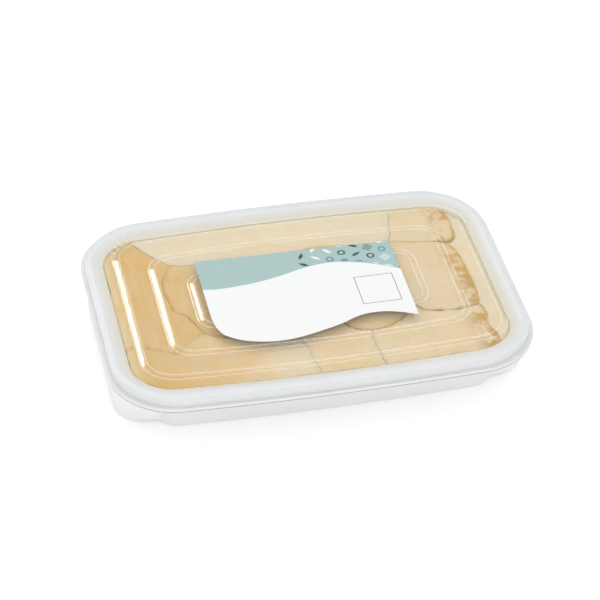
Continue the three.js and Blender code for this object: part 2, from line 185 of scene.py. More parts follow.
class Nodes:
    """A short way to write a material's node tree."""

    def __init__(self, name):
        self.material = bpy.data.materials.new(name)
        self.material.use_nodes = True
        self.tree = self.material.node_tree
        self.tree.nodes.clear()
        self.output = self.add("ShaderNodeOutputMaterial")

    def add(self, kind, **settings):
        node = self.tree.nodes.new(kind)
        for key, value in settings.items():
            setattr(node, key, value)
        return node

    def plug(self, value, socket):
        if isinstance(value, bpy.types.NodeSocket):
            self.tree.links.new(value, socket)
        elif value is not None:
            socket.default_value = value

    def math(self, operation, a, b=None, c=None, clamp=False):
        node = self.add("ShaderNodeMath", operation=operation, use_clamp=clamp)
        for value, socket in zip((a, b, c), node.inputs):
            self.plug(value, socket)
        return node.outputs[0]

    def times(self, a, b):
        return self.math("MULTIPLY", a, b)

    def times_plus(self, a, b, plus, **settings):
        return self.math("MULTIPLY_ADD", a, b, plus, **settings)

    def minus(self, a, b):
        return self.math("SUBTRACT", a, b)

    def positive(self, a):
        return self.math("ABSOLUTE", a)

    def over(self, a, b):
        return self.math("GREATER_THAN", a, b)

    def between(self, value, low, high, to_low=0.0, to_high=1.0, kind="SMOOTHSTEP"):
        node = self.add("ShaderNodeMapRange", interpolation_type=kind)
        keys = ("Value", "From Min", "From Max", "To Min", "To Max")
        for key, item in zip(keys, (value, low, high, to_low, to_high)):
            self.plug(item, node.inputs[key])
        return node.outputs["Result"]

    def mix(self, factor, a, b):
        node = self.add("ShaderNodeMix", data_type="RGBA")
        for key, value in (("Factor", factor), ("A", a), ("B", b)):
            self.plug(value, node.inputs[key])
        return node.outputs["Result"]

    def place(self, scale=(1, 1, 1), turn=0.0):
        coordinates = self.add("ShaderNodeTexCoord")
        mapping = self.add("ShaderNodeMapping")
        mapping.inputs["Scale"].default_value = scale
        mapping.inputs["Rotation"].default_value = (0, 0, turn)
        self.plug(coordinates.outputs["Object"], mapping.inputs["Vector"])
        return mapping.outputs["Vector"]

    def marked(self, name):
        """What mark wrote on the mesh."""
        return self.add("ShaderNodeAttribute", attribute_name=name).outputs["Fac"]

    def noise(self, size_mm, detail=2.0, rough=0.5, stretch=(1, 1, 1), turn=0.0, wobble=0.0):
        scale = tuple(s / (size_mm * MM) for s in stretch)
        node = self.add("ShaderNodeTexNoise")
        for key, value in (("Scale", 1.0), ("Detail", detail), ("Roughness", rough), ("Distortion", wobble),
                           ("Vector", self.place(scale, turn))):
            self.plug(value, node.inputs[key])
        return node.outputs["Fac"]

    def axes(self):
        """The point's own x, y and z in millimetres."""
        node = self.add("ShaderNodeSeparateXYZ")
        self.plug(self.place((1 / MM,) * 3), node.inputs[0])
        return node.outputs

    def bump(self, height, strength, distance_mm):
        node = self.add("ShaderNodeBump")
        node.inputs["Strength"].default_value = strength
        node.inputs["Distance"].default_value = distance_mm * MM
        self.plug(height, node.inputs["Height"])
        return node.outputs["Normal"]

    def surface(self, color, roughness, normal=None, **sockets):
        node = self.add("ShaderNodeBsdfPrincipled")
        self.plug(color, node.inputs["Base Color"])
        self.plug(roughness, node.inputs["Roughness"])
        if normal is not None:
            self.plug(normal, node.inputs["Normal"])
        for key, value in sockets.items():
            node.inputs[key.replace("_", " ")].default_value = value
        return node.outputs[0]

    def show(self, shader):
        self.plug(shader, self.output.inputs["Surface"])
        return self.material

    def clear_film(self, tint, haze, roughness, mirror, dull=None):
        """See-through film: what is behind shows unbent, with a gloss that grows at a glance."""
        facing = self.add("ShaderNodeLayerWeight")
        facing.inputs["Blend"].default_value = 0.5
        share = self.math("POWER", facing.outputs["Facing"], 5.0)    # Schlick's rule
        share = self.times_plus(share, 1 - mirror, mirror, clamp=True)
        if dull is not None:
            share = self.times(share, self.times_plus(dull, -RING_DULLNESS, 1.0))
        through = self.add("ShaderNodeBsdfTransparent")
        self.plug(tint, through.inputs["Color"])
        gloss = self.add("ShaderNodeBsdfGlossy")
        self.plug(roughness, gloss.inputs["Roughness"])
        gloss.inputs["Color"].default_value = WHITE
        veil = self.add("ShaderNodeBsdfDiffuse")
        veil.inputs["Color"].default_value = VEIL
        hazed = self.blend(haze, through.outputs[0], veil.outputs[0])
        return self.blend(share, hazed, gloss.outputs[0])

    def blend(self, share, first, second):
        node = self.add("ShaderNodeMixShader")
        for value, socket in zip((share, first, second), node.inputs):
            self.plug(value, socket)
        return node.outputs[0]


def rgba(color, share=1.0):
    """A colour with its alpha, darkened to a share of its brightness."""
    return (color[0] * share, color[1] * share, color[2] * share, 1.0)


# ---------- tub


def tub_side(z, by=0.0, **counts):
    """The tub's outside at a height: leaning corners, and an almost upright middle panel."""
    t = z / LIP_BOTTOM
    spec = tuple(a + (b - a) * t for a, b in zip(FOOT, SHOULDER))
    loop = outline(spec, z, by, **counts)
    panel = PANEL_FOOT + (PANEL_HEAD - PANEL_FOOT) * t + by
    panel_y = panel - BOW * (loop[:, 0] / FOOT[0]) ** 2
    share = smooth(PANEL_START - abs(loop[:, 0]), 0, PANEL_START - PANEL_END)
    loop[:, 1] = np.sign(loop[:, 1]) * (abs(loop[:, 1]) * (1 - share) + panel_y * share)
    return loop


def basin(z, by=0.0, **counts):
    """The tub's inside at a height."""
    t = (z - TUB_FLOOR) / (MOUTH_TOP - TUB_FLOOR)
    spec = tuple(a + (b - a) * t for a, b in zip(BASIN, MOUTH))
    return outline(spec, z, by, **counts)


TUB_COUNTS = dict(long=130, short=20, round_=18)
LEDGE_REFLECTION = (0.80, 0.72, 0.50)  # painted reflection: the golden light that the fish throws on the ledge round the mouth
LEDGE_REFLECTION_SHARE = 0.55
BASIN_TOP = (0.80, 0.78, 0.66)   # the inside's colour at the oil's level, and deep in the oil
BASIN_DEEP = (0.78, 0.60, 0.26)
BASIN_DEPTH = 22.0


def tub_mesh():
    """The tub, from under its foot up the outside and down the inside, and the number of the
    inside's first point. The rows are offsets from an outline, and heights."""
    counts = TUB_COUNTS
    foot = [(-4.0, 0.3), (-2.2, 0.0), (-1.4, 0.12), (-0.75, 0.45), (-0.3, 1.05), (0.0, 2.0)]
    loops = [tub_side(z, by, **counts) for by, z in foot]
    loops += [tub_side(z, **counts) for z in np.linspace(4, LIP_BOTTOM - 0.5, 9)]
    lip = [(-0.9, -0.8), (-0.3, -0.85), (-0.2, -0.6), (-0.3, -0.45), (-1.3, -0.4), (-1.3, 0.3),
           (-0.12, 0.4), (0.0, 0.6), (0.0, 2.0), (-0.25, 2.3)]
    loops += [outline(TUB_LIP, LIP_BOTTOM + up, by, **counts) for by, up in lip]
    flange = [(-1.5, LID_LIP - 0.3), (-1.6, LID_LIP - 0.1), (-1.9, FLANGE_TOP - 1.2),
              (-2.0, FLANGE_TOP - 0.7), (-2.3, FLANGE_TOP - 0.2), (-2.9, FLANGE_TOP)]
    loops += [outline(RIM, z, by, **counts) for by, z in flange]
    for spec, z, by in ((GROOVE, FLANGE_TOP, 2.0), (GROOVE, FLANGE_TOP - 0.12, 1.2),
                        (MOUTH, MOUTH_TOP + 0.5, 0.6), (MOUTH, MOUTH_TOP, 0.0)):
        loops.append(outline(spec, z, by, **counts))
    inner = len(loops) - 1
    loops += [basin(z, **counts) for z in (MOUTH_TOP - 1.2, 28.0, 20.0, 10.0, TUB_FLOOR + 2.5)]
    loops += [basin(TUB_FLOOR + 0.6, -0.8, **counts), basin(TUB_FLOOR, -2.6, **counts)]
    mesh = skin("tub_shell", loops)
    mark(mesh, "ledge", [0.8 if i == inner - 1 else float(i >= inner) for i in range(len(loops))])
    return mesh, inner * len(loops[0])


def tub_plastic(color):
    """Smooth white plastic with the faintest moulded unevenness, and a painted golden reflection of the
    fish on the ledge round the mouth.
    """
    n = Nodes("tub_plastic")
    patch = n.noise(34, 2.0)
    grain = n.noise(1.6, 2.0)
    tone = n.mix(n.between(patch, 0.35, 0.65), rgba(color, 0.985), rgba(color))
    ledge = n.marked("ledge")
    # Painted reflection: the ledge round the mouth is tinted gold, as if lit by the fish beside it.
    tone = n.mix(n.times(ledge, LEDGE_REFLECTION_SHARE), tone, rgba(LEDGE_REFLECTION))
    rough = n.between(grain, 0.3, 0.7, 0.30, 0.40)
    normal = n.bump(n.noise(12, 1.0), 0.25, 0.12)
    return n.show(n.surface(tone, rough, normal, Specular_IOR_Level=0.45, Subsurface_Weight=0.0))


def basin_plastic():
    """The tub's inside, seen through oil that gets deeper and so more golden towards the floor."""
    n = Nodes("basin_plastic")
    depth = n.minus(size("oil_level"), n.axes()[2])
    golden = n.between(depth, 0.0, BASIN_DEPTH)
    uneven = n.between(n.noise(9, 2.0), 0.3, 0.7, 0.75, 1.0)
    tone = n.mix(n.times(golden, uneven), rgba(BASIN_TOP), rgba(BASIN_DEEP))
    return n.show(n.surface(tone, 0.35))


# ---------- lid


def step_profile():
    """(offset from a step's middle, height over its foot, how folded the film is) from its
    foot inwards. Each edge of the slope has a fine raised bead."""
    half = STEP_RUN / 2
    bead = np.linspace(-BEAD_WIDTH / 2, BEAD_WIDTH / 2, 9)
    stations = np.concatenate([bead - half, [0.0], bead + half])
    rows = []
    for s in stations:
        t = np.clip((s + half) / STEP_RUN, 0, 1)
        rise = size("step_height") * (t + (smooth(t, 0, 1) - t) * STEP_ROUND)
        near = min(abs(s - half), abs(s + half)) / (BEAD_WIDTH / 2)
        fold = 0.5 * (1 + math.cos(math.pi * min(near, 1)))     # 1 on a bead's ridge, 0 beside it
        rows.append((-s, rise + BEAD_HEIGHT * fold, fold))
    return rows


LID_COUNTS = dict(long=72, short=40, round_=20)
RING_CREASES = {8: 0.4, 9: 0.5, 12: 0.4, 14: 0.3}     # how folded some of the ring's loops are
FOLD_HAZE = 0.38                 # how milky a fold is
RING_ROUGHNESS = 0.12
RING_DULLNESS = 0.75             # the share of its gloss that the ring lacks
LID_MIRROR = 0.022               # the share of light that clear plastic mirrors, seen straight on


def lid_face(lowered=0.0):
    """The lid's stepped panel, from the groove inwards: loops and how folded each one is."""
    loops, folds = [], []
    for step, spec in enumerate(STEPS):
        foot = PANEL_TOP + size("step_height") * step - lowered
        for offset, rise, fold in step_profile():
            loops.append(outline(spec, foot + rise, offset, STEP_SHIFT, **LID_COUNTS))
            folds.append(fold)
    top = PANEL_TOP + size("step_height") * len(STEPS) - lowered
    for by in (-8.0, -16.0, -24.0):
        corner = max(STEPS[-1][2] + by, 1.2)
        loops.append(outline(STEPS[-1], top, by, STEP_SHIFT, corner, **LID_COUNTS))
        folds.append(0.0)
    return loops, folds


def lid_mesh():
    """The lid: its skirt, flat ring, groove and stepped panel, with an under face inside them.
    Rows are an outline, an offset, a height and, where it isn't the outline's own, a corner radius."""
    face = [(RIM, 0.4, LID_LIP, 38.0), (RIM, 0.34, LID_LIP + 1.2, 38.3), (RIM, 0.2, 33.5, 39.0),
            (RIM, 0.05, 35.2, 39.8), (RIM, 0.0, RIM_TOP - 1.9), (RIM, -0.06, RIM_TOP - 1.3),
            (RIM, -0.25, RIM_TOP - 0.75), (RIM, -0.6, RIM_TOP - 0.3),
            (RIM, -1.05, RIM_TOP - 0.08), (RIM, -1.6, RIM_TOP),
            (GROOVE, 3.2, RIM_TOP), (GROOVE, 1.05, RIM_TOP), (GROOVE, 0.85, RIM_TOP - 0.04),
            (GROOVE, 0.7, RIM_TOP - 0.14), (GROOVE, -0.2, PANEL_TOP + 0.14),
            (GROOVE, -0.4, PANEL_TOP + 0.03), (GROOVE, -0.7, PANEL_TOP),
            (GROOVE, -4.5, PANEL_TOP)]
    under = [(RIM, 0.4 - LID_WALL, LID_LIP, 37.2), (RIM, -0.6, 33.5, 38.4), (RIM, -0.75, 35.2, 39.2),
             (RIM, -0.9, RIM_TOP - 2.1), (RIM, -1.2, RIM_TOP - 1.4),
             (RIM, -1.8, RIM_TOP - LID_WALL),
             (GROOVE, 1.2, RIM_TOP - LID_WALL), (GROOVE, 0.5, RIM_TOP - LID_WALL - 0.2),
             (GROOVE, -0.3, PANEL_TOP - LID_WALL + 0.1), (GROOVE, -0.9, PANEL_TOP - LID_WALL)]

    def loop(spec, by, z, corner=None):
        return outline(spec, z, by, corner=corner, **LID_COUNTS)

    steps, folds = lid_face()
    outer = [loop(*row) for row in face] + steps
    inner = [loop(*row) for row in under] + lid_face(LID_WALL)[0]
    mesh = skin("lid_shell", inner[::-1] + outer)
    mark(mesh, "fold", [0.0] * len(inner) + [RING_CREASES.get(i, 0.0) for i in range(len(face))] + folds)
    mark(mesh, "ring", [0.0] * len(steps) + [1.0] * (len(under) + len(face)) + [0.0] * len(steps))
    return mesh


# Short ribs in the lid's back corners and on its back edge: start and end seen from above.
LID_RIBS = (((-106, 68.6), (-101, 60.4)), ((-109.5, 65.1), (-104.7, 57.5)), ((-101, 70.6), (-98.4, 65.6)),
            ((-113.1, 57.6), (-106.5, 54.2)), ((60.3, 68.7), (64.1, 72.9)), ((70.3, 67.9), (74.6, 71.5)),
            ((83.1, 69.9), (86, 73.2)), ((109.2, 61.1), (109.3, 56.8)), ((116.2, 55.5), (115, 50)))
RIB_SIZE = (0.45, 0.3)           # half width and height
# Where the lid's surface under a rib changes height, by distance from the middle of the groove's corner.
RIB_REACH = (15.7, 19.3, 30.8, 31.9)
RIB_FOLD = 0.6                   # ribs are milky, like the folds


def rib_mesh(name, start, end):
    """One short rib pressed into the lid's ring, over the ring, the groove and the first step."""
    start, end = np.array(start), np.array(end)
    along = (end - start) / np.linalg.norm(end - start)
    side = np.array([-along[1], along[0]])
    around = np.linspace(0, 2 * math.pi, 10, endpoint=False)
    heights = (PANEL_TOP + size("step_height"), PANEL_TOP, PANEL_TOP, RIM_TOP)
    loops = []
    for t in np.linspace(0.02, 0.98, 9):
        middle = start + (end - start) * t
        swell = math.sqrt(math.sin(math.pi * t))
        away = np.linalg.norm(np.maximum(abs(middle) - np.subtract(GROOVE[:2], GROOVE[2]), 0))
        base = np.interp(away, RIB_REACH, heights)
        flat = middle + np.cos(around)[:, None] * side * RIB_SIZE[0] * swell
        loops.append(np.column_stack([flat, base + np.sin(around) * RIB_SIZE[1] * swell]))
    mesh = skin(name, loops)
    fold = mesh.attributes.new("fold", "FLOAT", "POINT")
    fold.data.foreach_set("value", [RIB_FOLD] * len(mesh.vertices))
    return mesh


def lid_plastic(color, haze):
    """Thin clear plastic: crisp gloss on the panel, softer on the ring, milky along each fold."""
    n = Nodes("lid_plastic")
    fold = n.marked("fold")
    ring = n.marked("ring")
    veil = n.between(n.noise(20, 2.0), 0.3, 0.7, haze * 0.6, haze * 1.4)
    veil = n.times_plus(fold, FOLD_HAZE, veil)
    rough = n.between(n.noise(5, 2.0), 0.3, 0.7, 0.03, 0.07)
    rough = n.times_plus(ring, RING_ROUGHNESS, rough)
    return n.show(n.clear_film(rgba(color), veil, rough, LID_MIRROR, dull=ring))


# ---------- label


LABEL_LEFT, LABEL_RIGHT = -62.0, 62.5
LABEL_HEAD = (37.3, 35.4)        # the upper edge's Y at its left and right ends
LABEL_LIFT = 0.05                # gap between the paper and the lid
LABEL_SIDES = 1.6                # the sides are straight above 1 / 1.6 of the label's height
LABEL_FOOT = ((-62, -18), (-61.2, -24), (-59.5, -29.5), (-56, -35), (-46.3, -41), (-34.8, -44.2),
              (-24.6, -45.2), (-13.3, -44.2), (-0.3, -41.2), (14, -36.9), (23.5, -32.8), (32, -30.5),
              (42.5, -30.6), (52, -33), (62.5, -37.2))
# The wave between the two fields of colour, and the height that its curve gives shares of.
FIELD_WAVE = ((-62, 9.6), (-54.5, 8.3), (-47.9, 8.3), (-30.8, 9.8), (-13.1, 13.5), (5.1, 18.8),
              (20.8, 20.7), (33, 18.8), (48.9, 13.6), (62.5, 6.6))
WAVE_SCALE = 40.0
SQUARE_MIDDLE, SQUARE_HALF = (43.8, -9.2), (12.0, 12.8)  # the thin square frame
SQUARE_LINE = (0.14, 0.30)       # full ink nearer than this to the frame's middle line, and none beyond


def spline(points, count):
    """Evenly spaced points along a Catmull-Rom curve through the given ones."""
    p = np.array(points, float)
    p = np.concatenate([2 * p[:1] - p[1:2], p, 2 * p[-1:] - p[-2:-1]])
    dense = []
    for i in range(1, len(p) - 2):
        t = np.linspace(0, 1, 24, endpoint=False)[:, None]
        a, b, c, d = p[i - 1], p[i], p[i + 1], p[i + 2]
        dense.append(0.5 * (2 * b + (c - a) * t + (2 * a - 5 * b + 4 * c - d) * t ** 2
                            + (3 * b - a - 3 * c + d) * t ** 3))
    dense = np.concatenate(dense + [p[-2:-1]])
    run = np.concatenate([[0], np.cumsum(np.linalg.norm(np.diff(dense, axis=0), axis=1))])
    spots = np.linspace(0, run[-1], count)
    return np.stack([np.interp(spots, run, dense[:, k]) for k in range(dense.shape[1])], 1)


def lid_height(x, y):
    """Height of the lid's upper face under the label: the top step and its slope."""
    half_length, half_width, _ = STEPS[-1]
    bow = 1 - (BOW / half_width) * np.clip((x - STEP_SHIFT) / half_length, -1, 1) ** 2
    out = abs(y) / bow - half_width
    return PANEL_TOP + size("step_height") * (len(STEPS) - smooth(out, -STEP_RUN / 2, STEP_RUN / 2))


def label_mesh():
    """The paper, laid over the lid's top step, with its wavy lower edge."""
    columns, rows = 120, 60
    foot = spline(LABEL_FOOT, columns + 1)
    share = np.linspace(0, 1, columns + 1)
    head = np.stack([LABEL_LEFT + (LABEL_RIGHT - LABEL_LEFT) * share,
                     LABEL_HEAD[0] + (LABEL_HEAD[1] - LABEL_HEAD[0]) * share], 1)
    points = np.zeros((rows + 1, columns + 1, 3))
    for r in range(rows + 1):
        t = r / rows
        for axis, up in enumerate((min(1.0, t * LABEL_SIDES), t)):
            points[r, :, axis] = foot[:, axis] * (1 - up) + head[:, axis] * up
    points[..., 2] = lid_height(points[..., 0], points[..., 1]) + LABEL_LIFT
    lower = points.reshape(-1, 3)
    upper = lower + [0, 0, size("label_thickness")]
    count, width = len(lower), columns + 1
    faces = []
    for r in range(rows):
        for c in range(columns):
            a, b = r * width + c, (r + 1) * width + c
            faces += [(a + count, a + 1 + count, b + 1 + count, b + count), (a, b, b + 1, a + 1)]
    ring = (list(range(width)) + [r * width + columns for r in range(1, rows + 1)]
            + [rows * width + c for c in range(columns - 1, -1, -1)]
            + [r * width for r in range(rows - 1, 0, -1)])
    faces += [(ring[i], ring[(i + 1) % len(ring)], ring[(i + 1) % len(ring)] + count, ring[i] + count)
              for i in range(len(ring))]
    return new_mesh("label_paper", np.concatenate([lower, upper]), faces)


MOTIF_CELL = 8.6                 # each small shape has a square of this width
MOTIF_START = -2.0               # and they begin at this X,
MOTIF_MARGIN = 0.8               # this far above the wave
INKS = ((0.03, 0.075, 0.085), (0.10, 0.26, 0.40), (0.74, 0.78, 0.78))


def label_motifs(n, x, y):
    """Where the upper field's small shapes are, and in which ink: dots, rings, bars and lenses."""
    cell = [n.math("DIVIDE", value, MOTIF_CELL) for value in (x, y)]
    cell[1] = n.times_plus(n.math("FLOOR", cell[0]), 0.37, cell[1])
    index = [n.math("FLOOR", value) for value in cell]
    u, v = (n.minus(n.math("FRACT", value), 0.5) for value in cell)

    def chance(salt):
        point = n.add("ShaderNodeCombineXYZ")
        for value, socket in zip((*index, salt), point.inputs):
            n.plug(value, socket)
        dice = n.add("ShaderNodeTexWhiteNoise", noise_dimensions="3D")
        n.plug(point.outputs[0], dice.inputs["Vector"])
        return dice.outputs["Value"]

    turn = n.times(chance(3.5), math.pi)
    cos, sin = n.math("COSINE", turn), n.math("SINE", turn)
    along = n.minus(n.times(u, cos), n.times(v, sin))
    across = n.math("ADD", n.times(u, sin), n.times(v, cos))
    away = n.math("SQRT", n.math("ADD", n.times(u, u), n.times(v, v)))
    dot = n.between(away, 0.25, 0.28, 1, 0)
    ring = n.between(n.positive(n.minus(away, 0.23)), 0.05, 0.08, 1, 0)
    stripe = n.math("FRACT", n.times(across, 6.0))
    stripe = n.positive(n.minus(stripe, 0.5))
    square = n.math("MAXIMUM", n.positive(along), n.positive(across))
    bars = n.times(n.between(stripe, 0.18, 0.26, 1, 0), n.between(square, 0.30, 0.33, 1, 0))
    stretched = n.times(n.times(along, along), 6.2)
    lens = n.between(n.times_plus(n.positive(across), 7.0, stretched), 0.9, 1.05, 1, 0)
    kind, shape = chance(1.5), dot
    for share, other in ((0.25, ring), (0.5, bars), (0.75, lens)):
        pick = n.over(kind, share)
        kept = n.times(shape, n.minus(1.0, pick))
        shape = n.times_plus(other, pick, kept)
    shape = n.times(shape, n.over(x, MOTIF_START))
    color = chance(2.5)
    ink = n.mix(n.over(color, 0.45), rgba(INKS[0]), rgba(INKS[1]))
    return shape, n.mix(n.over(color, 0.75), ink, rgba(INKS[2]))


def label_paper(paper, field, line):
    """Coated paper, white below a wave and in one pale colour above it, with a thin square frame."""
    n = Nodes("label_paper")
    x, y, _ = n.axes()
    span = LABEL_RIGHT - LABEL_LEFT
    across = n.between(x, LABEL_LEFT, LABEL_RIGHT, 0, 1, "LINEAR")
    wave = n.add("ShaderNodeFloatCurve")
    curve = wave.mapping.curves[0]
    spots = [((px - LABEL_LEFT) / span, py / WAVE_SCALE) for px, py in FIELD_WAVE]
    curve.points[0].location, curve.points[-1].location = spots[0], spots[-1]
    for spot in spots[1:-1]:
        curve.points.new(*spot)
    wave.mapping.update()
    n.plug(across, wave.inputs["Value"])
    above = n.minus(y, n.times(wave.outputs[0], WAVE_SCALE))
    upper = n.between(above, -0.12, 0.12)
    fibre = n.noise(0.9, 3.0)
    white = n.mix(n.between(fibre, 0.3, 0.7), rgba(paper, 0.985), rgba(paper))
    tint = n.mix(n.between(n.noise(6, 3.0), 0.3, 0.7), rgba(field, 0.97), rgba(field))
    motif, ink = label_motifs(n, x, y)
    motif = n.times(motif, n.over(above, MOTIF_MARGIN))
    tint = n.mix(motif, tint, ink)
    tone = n.mix(upper, white, tint)

    def past(value, middle, half):
        away = n.positive(n.minus(value, middle))
        return n.minus(away, half)

    outside = n.math("MAXIMUM", *(past(*row) for row in zip((x, y), SQUARE_MIDDLE, SQUARE_HALF)))
    square = n.between(n.positive(outside), *SQUARE_LINE, 1.0, 0.0)
    tone = n.mix(square, tone, rgba(line))
    rough = n.between(fibre, 0.3, 0.7, 0.42, 0.52)
    return n.show(n.surface(tone, rough, n.bump(fibre, 0.15, 0.05), Specular_IOR_Level=0.35))


# ---------- cod


# The uppermost slice comes first. Each row has a name, how far the slice lies below the others, and
# the points that its edge passes through, in order round it. The tub's wall cuts the edge off.
SLICES = (
    ("right_middle", 0, ((60, -18), (68, -27), (76, -30), (86, -31.5), (95, -30.5), (104, -27), (106, -10),
                         (105.5, 8), (104, 24), (98, 33), (80, 38), (60, 40), (48, 34), (46, 8), (50, -8))),
    ("middle", 0, ((17, -30), (22, -36), (30, -39.5), (38, -40), (48, -36.5), (57, -28), (60, 0), (56, 34),
                   (36, 42), (10, 43), (-6, 34), (-9, 4), (0, -20))),
    ("back", 0, ((-99, 72), (-94, 65), (-87, 55), (-80, 47), (-72, 42), (-56, 41.5), (-10, 41), (30, 40),
                 (62, 41), (68, 56), (66, 78), (0, 80), (-80, 79))),
    ("left_middle", 0, ((-82, -2), (-77, -4), (-72.5, -12), (-67, -24), (-54, -30), (-30, -31), (-4, -30),
                        (8, -14), (8, 24), (-8, 44), (-44, 47), (-72, 45), (-84, 26))),
    ("back_right", 0, ((62, 37), (78, 35), (94, 36), (102, 34), (107, 39), (108, 48), (107, 61), (100, 78),
                       (80, 80), (64, 78), (60, 58))),
    ("front_left", 0, ((-122, -30), (-108, -30), (-98, -36), (-88, -40), (-76, -30), (-60, -24), (-30, -26),
                       (-14, -34), (-8, -60), (-12, -78), (-60, -79), (-110, -77), (-124, -56))),
    ("front_right", 0, ((46, -24), (74, -22), (98, -24), (106, -34), (104, -48), (107, -58), (102, -78),
                        (60, -79), (38, -79), (32, -60), (34, -36))),
    ("front_middle", 0, ((-24, -30), (-4, -22), (24, -24), (40, -32), (44, -58), (40, -79), (0, -80),
                         (-19, -79), (-22, -56))),
    ("left_end", 0, ((-124, -40), (-102, -44), (-84, -44), (-68, -37), (-62, -10), (-68, 30), (-80, 52),
                     (-92, 70), (-100, 78), (-122, 66), (-126, 0))),
    ("right_end", 1.0, ((96, -60), (93, 0), (92, 24), (94, 42), (99, 60), (112, 66), (124, 40), (126, 0),
                        (124, -40), (112, -66))),
)


def ray_lengths(centre, angles, points):
    """How far rays from a middle run before they leave a closed outline for good."""
    dx, dy = np.cos(angles)[:, None], np.sin(angles)[:, None]
    edge = np.roll(points, -1, axis=0) - points
    away = points - centre
    det = dx * edge[:, 1] - dy * edge[:, 0]
    with np.errstate(divide="ignore", invalid="ignore"):
        along = (away[:, 0] * dy - away[:, 1] * dx) / det
        length = (away[:, 0] * edge[:, 1] - away[:, 1] * edge[:, 0]) / det
    return np.where((along >= 0) & (along <= 1), length, 0).max(1)


class Slice:
    """One slice of cod seen from above: its middle and its edge's distance in every direction."""

    def __init__(self, index, name, sunk, edge):
        self.index, self.name, self.sunk = index, name, sunk
        drawn = spline(tuple(edge) + (edge[0],), 241)[:-1]
        self.centre = drawn.mean(0)
        self.angles = np.linspace(-math.pi, math.pi, 360, endpoint=False)
        wall = basin(31.0, 0.2)[:, :2]
        self.radii = np.minimum(ray_lengths(self.centre, self.angles, drawn),
                                ray_lengths(self.centre, self.angles, wall))
        rays = np.stack([np.cos(self.angles), np.sin(self.angles)], 1)
        self.rim = self.centre + self.radii[:, None] * rays

    def radius(self, angle):
        return np.interp(angle, self.angles, self.radii, period=2 * math.pi)

    def reach(self, x, y):
        """How far out points lie: 0 in the slice's middle, 1 on its edge."""
        dx, dy = x - self.centre[0], y - self.centre[1]
        return np.hypot(dx, dy) / self.radius(np.arctan2(dy, dx))

    def beyond(self, x, y):
        """How far points outside the slice lie from its edge; 0 inside it."""
        far = np.zeros(len(x))
        outside = self.reach(x, y) > 1
        spots = np.stack([x, y], 1)[outside]
        edge = np.roll(self.rim, -1, axis=0) - self.rim
        away = spots[:, None] - self.rim
        part = np.clip((away * edge).sum(2) / (edge ** 2).sum(1), 0, 1)
        far[outside] = np.linalg.norm(away - part[..., None] * edge, axis=2).min(1)
        return far


def thickness(t):
    """A slice's thickness, from its middle (t is 0) to its edge (t is 1)."""
    full = size("slice_thickness")
    return full + (SLICE_EDGE - full) * (1 - np.sqrt(np.maximum(0, 1 - t ** 3)))


def stacked_top(slices, x, y):
    """The last slice's top at these points, and what covers the next one under it."""
    cover = np.full(len(x), np.inf)
    flat, steep = SEAM_SLOPE
    slope = flat + (steep - flat) * (0.5 + 0.5 * np.sin(x / 9 + 2 * np.cos(y / 14)))
    for s in slices:
        wave = SLICE_WAVE * np.sin(x / 17 + s.index) * np.cos(y / 13 - 2 * s.index)
        reach = s.reach(x, y)
        free = size("fish_level") - s.sunk + wave - SLICE_DROOP * reach ** 4
        top = np.minimum(free, cover - SLICE_GAP)
        outside = s.beyond(x, y)
        under = top - thickness(np.minimum(reach, 1)) + outside * slope
        cover = np.where(outside <= SEAM_REACH, np.minimum(cover, under), cover)
    return top, cover


def flesh_relief(x, y, seed, grain):
    """Small unevenness of the flesh at each point, from -1 to 1."""
    return np.array([noise.noise(Vector((px / grain, py / grain, seed * 7.3))) for px, py in zip(x, y)])


def slab_mesh(name, centre, edge, fractions, top_at, bottom_at):
    """A slab inside a closed edge, with an edge value from 0 in its middle to 1."""

    def ring(fraction, height):
        x, y = (np.asarray(centre) + (edge - centre) * fraction).T
        return np.stack([x, y, height(x, y, fraction)], 1)

    bottom = [ring(f, bottom_at) for f in fractions]
    top = [ring(f, top_at) for f in fractions][::-1]
    mesh = skin(name, bottom + top)
    mark(mesh, "edge", fractions + fractions[::-1])
    return mesh


def slice_mesh(s, slices):
    """One slice: thin ragged edge, gently uneven top, dipping under its neighbours."""
    fractions = [0.06, 0.14, 0.22, 0.3, 0.38, 0.46, 0.54, 0.62, 0.69, 0.75, 0.81, 0.86, 0.90, 0.93,
                 0.955, 0.975, 0.99, 1.0]
    edge = spline(np.concatenate([s.rim, s.rim[:1]]), 221)[:-1]
    ragged = flesh_relief(edge[:, 0], edge[:, 1], s.index + 3, 4.0) * 0.8 - 0.2
    outward = edge - s.centre
    edge = edge + outward / np.linalg.norm(outward, axis=1)[:, None] * ragged[:, None]
    below = slices[:s.index + 1]

    def top_at(x, y, fraction):
        relief = 0.16 * flesh_relief(x, y, s.index, 9.0) + 0.06 * flesh_relief(x, y, s.index + 20, 2.5)
        return np.minimum(stacked_top(below, x, y)[0] + relief, size("oil_level") - 0.05)

    def bottom_at(x, y, fraction):
        return stacked_top(below, x, y)[0] - thickness(fraction) - 0.3

    return slab_mesh("slice_" + s.name, s.centre, edge, fractions, top_at, bottom_at)


